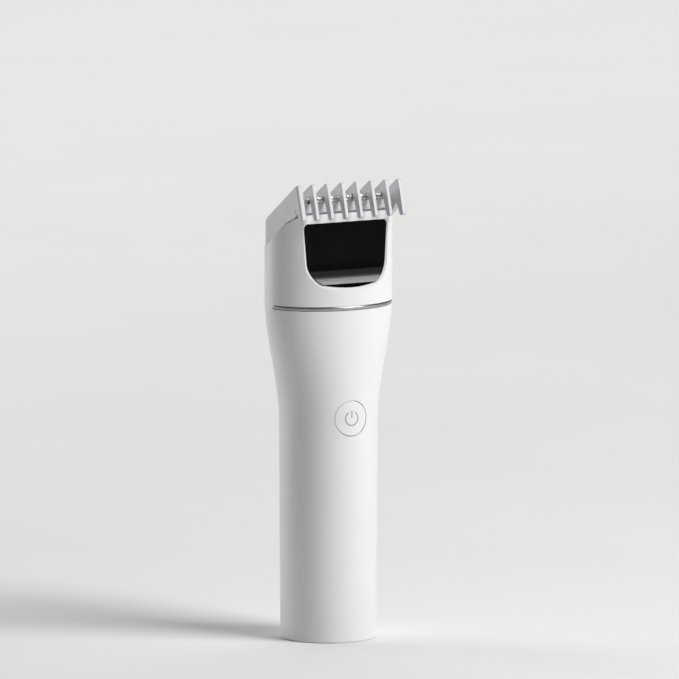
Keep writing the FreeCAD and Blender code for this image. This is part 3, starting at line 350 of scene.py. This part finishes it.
def power_symbol():
    """A generic power mark printed on the button, laid on the button's curved face."""
    button = NODES["power_button"]
    mesh = bpy.data.meshes.new("power_symbol")
    form = bmesh.new()
    for strip in ring_points():
        rows = []
        for row in strip:
            corners = []
            for x, z in row:
                hit, place, normal, _ = button.ray_cast(
                    Vector((x, -30 * MM, BUTTON_Z + z)), Vector((0, 1, 0)))
                corners.append(form.verts.new(place + normal * SYMBOL_RISE))
            rows.append(corners)
        for first, second in zip(rows, rows[1:]):
            for side in (0, 1):
                form.faces.new((first[side], first[side + 1], second[side + 1], second[side]))
    bmesh.ops.recalc_face_normals(form, faces=form.faces)
    form.to_mesh(mesh)
    form.free()
    mesh.materials.append(pad_print("symbol_ink", SYMBOL_GREY))
    symbol = bpy.data.objects.new("power_symbol", mesh)
    bpy.context.scene.collection.objects.link(symbol)
    ink = symbol.modifiers.new("ink", "SOLIDIFY")
    ink.thickness = SYMBOL_RISE
    ink.offset = -1
    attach(symbol, "button")


# ---------------------------------------------------------------- stage, light, camera

VIEW_TURN = math.radians(-28.4)
VIEW_LIFT = math.radians(8.0)
VIEW_DISTANCE = 7.7
FRAME_PIXELS = 679
METRES_A_PIXEL = 0.000375
SENSOR = 36.0
TARGET_HEIGHT = 112.6 * MM
TARGET_RIGHT = 4.18 * MM
LIT_MIDDLE = Vector((0, 0, 0.1))
STRIP_BEHIND = 2.2
STRIP_HEIGHT = 1.6
FLOOR_RADIUS = 6.0


def bearing(turn, lift):
    """Unit vector to a place seen from the clipper: turn to the camera's right, lift up."""
    angle = VIEW_TURN + math.radians(turn)
    rise = math.radians(lift)
    return Vector((math.sin(angle) * math.cos(rise), -math.cos(angle) * math.cos(rise),
                   math.sin(rise)))


def camera():
    """A long lens from the front left, a little above the clipper's middle."""
    back = bearing(0, math.degrees(VIEW_LIFT))
    right = Vector((math.cos(VIEW_TURN), math.sin(VIEW_TURN), 0))
    target = Vector((0, 0, TARGET_HEIGHT)) + right * TARGET_RIGHT
    data = bpy.data.cameras.new("camera")
    data.sensor_width = SENSOR
    data.lens = SENSOR * VIEW_DISTANCE / (FRAME_PIXELS * METRES_A_PIXEL)
    data.clip_end = 50
    holder = bpy.data.objects.new("camera", data)
    holder.location = target + back * VIEW_DISTANCE
    holder.rotation_euler = back.to_track_quat("Z", "Y").to_euler()
    bpy.context.scene.collection.objects.link(holder)
    bpy.context.scene.camera = holder


def panel_light(name, size, power):
    """A rectangular light, to be placed by its caller."""
    data = bpy.data.lights.new(name, "AREA")
    data.shape = "RECTANGLE"
    data.size, data.size_y = size
    data.energy = power
    holder = bpy.data.objects.new(name, data)
    bpy.context.scene.collection.objects.link(holder)
    return holder


def soft_box(name, turn, lift, distance, size, power):
    """A soft box aimed at the clipper's middle."""
    away = bearing(turn, lift)
    holder = panel_light(name, size, power)
    holder.location = LIT_MIDDLE + away * distance
    holder.rotation_euler = away.to_track_quat("Z", "Y").to_euler()


def overhead_strip():
    """A wide panel over the floor behind the clipper, which keeps the background pale."""
    holder = panel_light("background", size=(3.2, 2.4), power=44)
    holder.location = bearing(180, 0) * STRIP_BEHIND + Vector((0, 0, STRIP_HEIGHT))
    holder.rotation_euler[2] = VIEW_TURN


def floor():
    """A wide pale disc to stand on, so large that it fills every raised view."""
    mesh = bpy.data.meshes.new("floor")
    form = bmesh.new()
    bmesh.ops.create_circle(form, cap_ends=True, segments=96, radius=FLOOR_RADIUS)
    form.to_mesh(mesh)
    form.free()
    disc = bpy.data.objects.new("floor", mesh)
    bpy.context.scene.collection.objects.link(disc)
    shader = Shader("floor_paper")
    tone = shader.ramp(shader.noise(6, 3), 0, 1)
    shader.drive("Base Color", shader.mix(tone, (0.83, 0.825, 0.815), (0.81, 0.805, 0.795)))
    shader.drive("Normal", shader.bump(shader.noise(400, 3), 2e-5, 0.3))
    shader.set(Roughness=0.85)
    mesh.materials.append(shader.material)


def studio():
    """Dim room light, a raised key on the right and a low fill from behind the left."""
    scene = bpy.context.scene
    world = bpy.data.worlds.new("studio")
    world.use_nodes = True
    room = world.node_tree.nodes["Background"]
    room.inputs["Color"].default_value = (1, 0.998, 0.992, 1)
    room.inputs["Strength"].default_value = 0.03
    scene.world = world
    scene.view_settings.view_transform = "Standard"
    soft_box("key", turn=62, lift=38, distance=1.5, size=(0.8, 0.9), power=24)
    soft_box("fill", turn=-120, lift=10, distance=1.7, size=(0.8, 1.2), power=13.5)
    overhead_strip()


finish_cad()
power_symbol()
floor()
camera()
studio()
